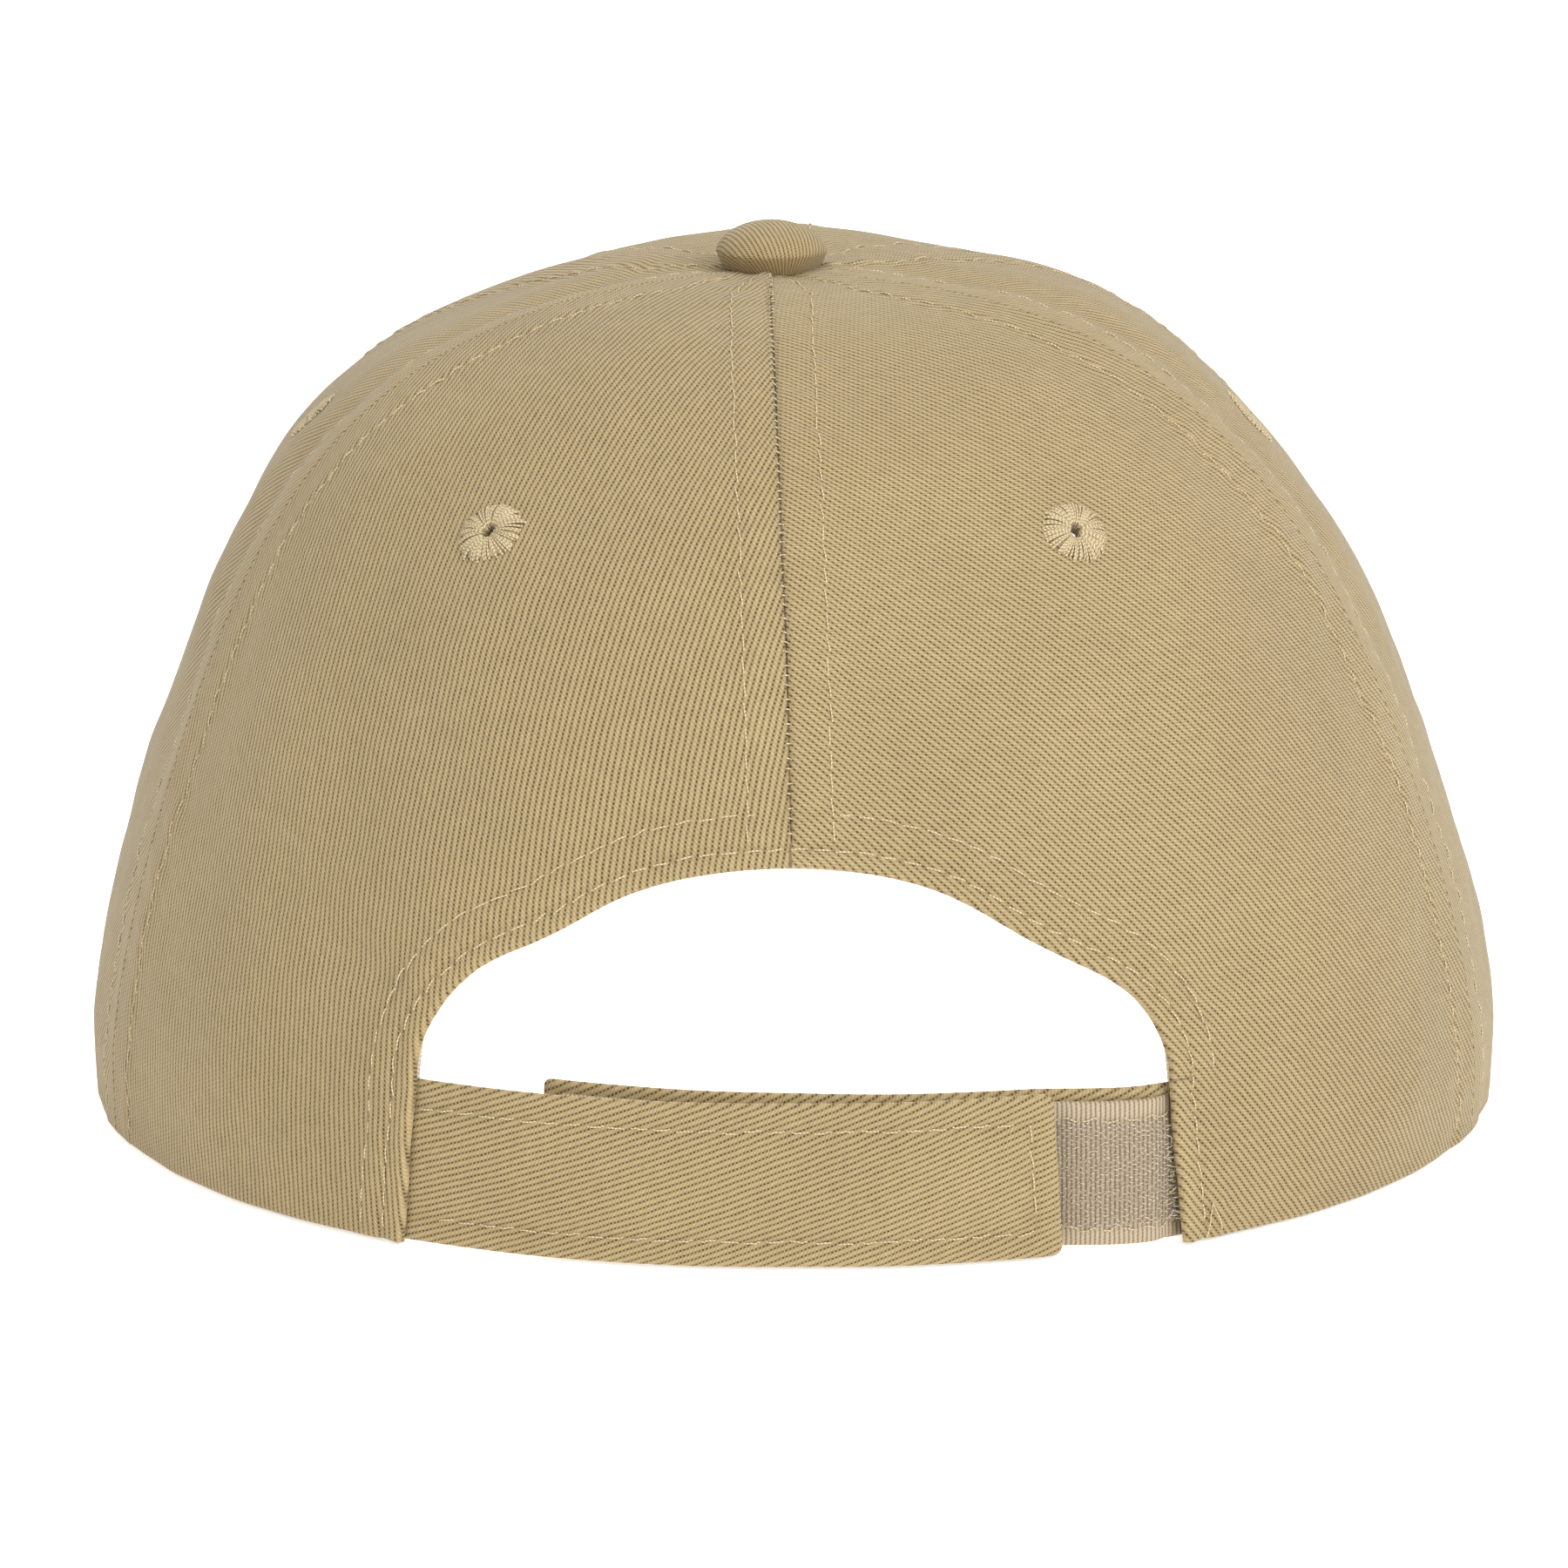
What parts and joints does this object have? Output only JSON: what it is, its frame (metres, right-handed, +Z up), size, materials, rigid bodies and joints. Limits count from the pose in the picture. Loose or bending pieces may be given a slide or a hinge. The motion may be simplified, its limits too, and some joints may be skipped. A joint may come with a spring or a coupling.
{
  "type": "baseball cap",
  "caption": "Structured six-panel cotton twill baseball cap with a curved visor and a hook-and-loop back strap.",
  "frame": {"origin": "centre of the bounding box of the whole cap, on the plane its hem rests on", "axes": "+X towards the wearer's left, +Y towards the back strap, -Y towards the visor, +Z up to the button"},
  "size_m": [0.1788, 0.2662, 0.1096],
  "materials": {
    "khaki_twill": "brushed cotton twill, matte, with raised diagonal wales",
    "khaki_thread": "polyester embroidery thread, soft sheen",
    "buckram": "stiffened open-weave cotton",
    "seam_tape": "woven cotton tape",
    "sweatband_cloth": "cotton twill",
    "foam": "thin polyurethane foam strip",
    "aluminium": "stamped, bare",
    "visor_board": "moulded polyethylene sheet",
    "loop_tape": "brushed nylon loop pile",
    "hook_tape": "woven nylon with clear moulded hooks"
  },
  "bodies": {
    "crown": {"back_panel_left": "khaki_twill", "side_panel_left": "khaki_twill", "front_panel_left": "khaki_twill", "front_buckram_left": "buckram", "back_eyelet_left": "khaki_thread", "side_eyelet_left": "khaki_thread", "front_eyelet_left": "khaki_thread", "back_seam_tape_left": "seam_tape", "front_seam_tape_left": "seam_tape", "back_panel_right": "khaki_twill", "side_panel_right": "khaki_twill", "front_panel_right": "khaki_twill", "front_buckram_right": "buckram", "back_eyelet_right": "khaki_thread", "side_eyelet_right": "khaki_thread", "front_eyelet_right": "khaki_thread", "back_seam_tape_right": "seam_tape", "front_seam_tape_right": "seam_tape", "centre_seam_tape": "seam_tape", "opening_binding": "khaki_twill", "sweatband": "sweatband_cloth", "sweatband_padding": "foam", "button_cover": "khaki_twill", "button_shell": "aluminium", "button_back": "aluminium", "visor_top_cover": "khaki_twill", "visor_bottom_cover": "khaki_twill", "visor_board": "visor_board", "outer_tab_root": "khaki_twill", "inner_tab_root": "khaki_twill"},
    "outer_strap": {"outer_tab": "khaki_twill", "loop_tape": "loop_tape"},
    "inner_strap": {"inner_tab": "khaki_twill", "hook_tape": "hook_tape"}
  },
  "joints": [
    {"name": "outer_strap_peel", "type": "hinge", "parent": "crown", "child": "outer_strap", "pos_m": [0.0424, 0.1232, 0.01], "axis": [0, 0, -1], "range_deg": [0, 100]},
    {"name": "inner_strap_swing", "type": "hinge", "parent": "crown", "child": "inner_strap", "pos_m": [-0.0412, 0.1202, 0.011], "axis": [0, 0, -1], "range_deg": [0, 35]}
  ]
}
